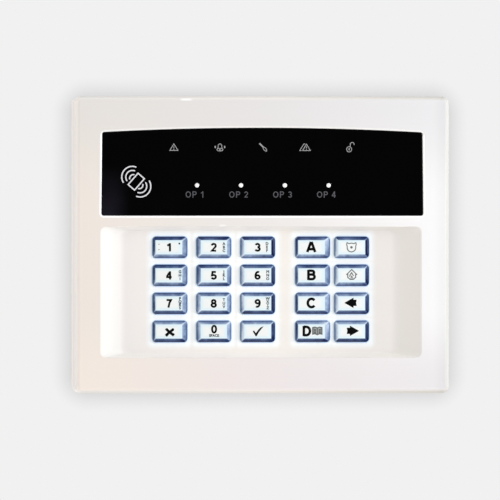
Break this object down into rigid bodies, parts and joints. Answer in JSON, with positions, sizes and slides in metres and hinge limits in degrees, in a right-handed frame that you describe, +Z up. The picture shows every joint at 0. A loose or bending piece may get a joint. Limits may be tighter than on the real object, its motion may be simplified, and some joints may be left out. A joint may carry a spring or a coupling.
{
  "type": "alarm keypad panel",
  "caption": "Wall-mounted alarm keypad with a dark bowed display window above a dished panel of bevelled, backlit press keys, in a shallow white two-part case.",
  "frame": {"origin": "the middle of the flat back face, where the panel meets the wall", "axes": "+X to the right as seen from the front, +Y into the wall, +Z up, the keys face -Y"},
  "size_m": [0.147, 0.03, 0.1164],
  "materials": {
    "case_white": "satin white moulded ABS with a faint fine grain",
    "rear_white": "matt white moulded ABS",
    "window_black": "high-gloss smoked acrylic",
    "key_clear": "translucent moulded keys lit cool white and blue from behind",
    "mat_silicone": "translucent silicone rubber",
    "board_green": "green solder mask over glass-fibre laminate",
    "chip_black": "matt black moulded epoxy",
    "shroud_black": "matt black moulded plastic",
    "terminal_green": "green moulded polyamide",
    "led_clear": "clear epoxy dome",
    "copper": "enamelled copper winding",
    "steel": "zinc-plated steel",
    "plunger_grey": "grey moulded acetal"
  },
  "bodies": {
    "case": {"board_screw_1": "steel", "board_screw_2": "steel", "board_screw_3": "steel", "board_screw_4": "steel", "bus_driver": "chip_black", "capacitor": "steel", "cover_screw_left": "steel", "cover_screw_right": "steel", "display_window": "window_black", "front_cover": "case_white", "keypad_mat": "mat_silicone", "led_backlight_1": "led_clear", "led_backlight_2": "led_clear", "led_backlight_3": "led_clear", "led_icon_1": "led_clear", "led_icon_2": "led_clear", "led_icon_3": "led_clear", "led_icon_4": "led_clear", "led_icon_5": "led_clear", "led_output_1": "led_clear", "led_output_2": "led_clear", "led_output_3": "led_clear", "led_output_4": "led_clear", "led_shroud": "shroud_black", "main_board": "board_green", "microcontroller": "chip_black", "proximity_coil": "copper", "reader_chip": "chip_black", "rear_case": "rear_white", "sounder": "chip_black", "tamper_spring": "steel", "tamper_switch": "chip_black", "terminal_block": "terminal_green", "terminal_screw_1": "steel", "terminal_screw_2": "steel", "terminal_screw_3": "steel", "terminal_screw_4": "steel", "voltage_regulator": "chip_black"},
    "key_1": {"key_1": "key_clear"},
    "key_2": {"key_2": "key_clear"},
    "key_3": {"key_3": "key_clear"},
    "key_a": {"key_a": "key_clear"},
    "key_shield": {"key_shield": "key_clear"},
    "key_4": {"key_4": "key_clear"},
    "key_5": {"key_5": "key_clear"},
    "key_6": {"key_6": "key_clear"},
    "key_b": {"key_b": "key_clear"},
    "key_house": {"key_house": "key_clear"},
    "key_7": {"key_7": "key_clear"},
    "key_8": {"key_8": "key_clear"},
    "key_9": {"key_9": "key_clear"},
    "key_c": {"key_c": "key_clear"},
    "key_left": {"key_left": "key_clear"},
    "key_cancel": {"key_cancel": "key_clear"},
    "key_0": {"key_0": "key_clear"},
    "key_enter": {"key_enter": "key_clear"},
    "key_d": {"key_d": "key_clear"},
    "key_right": {"key_right": "key_clear"},
    "tamper_plunger": {"tamper_plunger": "plunger_grey"}
  },
  "joints": [
    {"name": "key_1_press", "type": "slide", "parent": "case", "child": "key_1", "axis": [0, 1, 0], "range_m": [0, 0.001], "stiffness_N_per_m": 800},
    {"name": "key_2_press", "type": "slide", "parent": "case", "child": "key_2", "axis": [0, 1, 0], "range_m": [0, 0.001], "stiffness_N_per_m": 800},
    {"name": "key_3_press", "type": "slide", "parent": "case", "child": "key_3", "axis": [0, 1, 0], "range_m": [0, 0.001], "stiffness_N_per_m": 800},
    {"name": "key_a_press", "type": "slide", "parent": "case", "child": "key_a", "axis": [0, 1, 0], "range_m": [0, 0.001], "stiffness_N_per_m": 800},
    {"name": "key_shield_press", "type": "slide", "parent": "case", "child": "key_shield", "axis": [0, 1, 0], "range_m": [0, 0.001], "stiffness_N_per_m": 800},
    {"name": "key_4_press", "type": "slide", "parent": "case", "child": "key_4", "axis": [0, 1, 0], "range_m": [0, 0.001], "stiffness_N_per_m": 800},
    {"name": "key_5_press", "type": "slide", "parent": "case", "child": "key_5", "axis": [0, 1, 0], "range_m": [0, 0.001], "stiffness_N_per_m": 800},
    {"name": "key_6_press", "type": "slide", "parent": "case", "child": "key_6", "axis": [0, 1, 0], "range_m": [0, 0.001], "stiffness_N_per_m": 800},
    {"name": "key_b_press", "type": "slide", "parent": "case", "child": "key_b", "axis": [0, 1, 0], "range_m": [0, 0.001], "stiffness_N_per_m": 800},
    {"name": "key_house_press", "type": "slide", "parent": "case", "child": "key_house", "axis": [0, 1, 0], "range_m": [0, 0.001], "stiffness_N_per_m": 800},
    {"name": "key_7_press", "type": "slide", "parent": "case", "child": "key_7", "axis": [0, 1, 0], "range_m": [0, 0.001], "stiffness_N_per_m": 800},
    {"name": "key_8_press", "type": "slide", "parent": "case", "child": "key_8", "axis": [0, 1, 0], "range_m": [0, 0.001], "stiffness_N_per_m": 800},
    {"name": "key_9_press", "type": "slide", "parent": "case", "child": "key_9", "axis": [0, 1, 0], "range_m": [0, 0.001], "stiffness_N_per_m": 800},
    {"name": "key_c_press", "type": "slide", "parent": "case", "child": "key_c", "axis": [0, 1, 0], "range_m": [0, 0.001], "stiffness_N_per_m": 800},
    {"name": "key_left_press", "type": "slide", "parent": "case", "child": "key_left", "axis": [0, 1, 0], "range_m": [0, 0.001], "stiffness_N_per_m": 800},
    {"name": "key_cancel_press", "type": "slide", "parent": "case", "child": "key_cancel", "axis": [0, 1, 0], "range_m": [0, 0.001], "stiffness_N_per_m": 800},
    {"name": "key_0_press", "type": "slide", "parent": "case", "child": "key_0", "axis": [0, 1, 0], "range_m": [0, 0.001], "stiffness_N_per_m": 800},
    {"name": "key_enter_press", "type": "slide", "parent": "case", "child": "key_enter", "axis": [0, 1, 0], "range_m": [0, 0.001], "stiffness_N_per_m": 800},
    {"name": "key_d_press", "type": "slide", "parent": "case", "child": "key_d", "axis": [0, 1, 0], "range_m": [0, 0.001], "stiffness_N_per_m": 800},
    {"name": "key_right_press", "type": "slide", "parent": "case", "child": "key_right", "axis": [0, 1, 0], "range_m": [0, 0.001], "stiffness_N_per_m": 800},
    {"name": "tamper_plunger_slide", "type": "slide", "parent": "case", "child": "tamper_plunger", "axis": [0, 1, 0], "range_m": [0, 0.0025], "stiffness_N_per_m": 100, "springref_m": 0.0025, "deforming": ["tamper_spring"]}
  ]
}
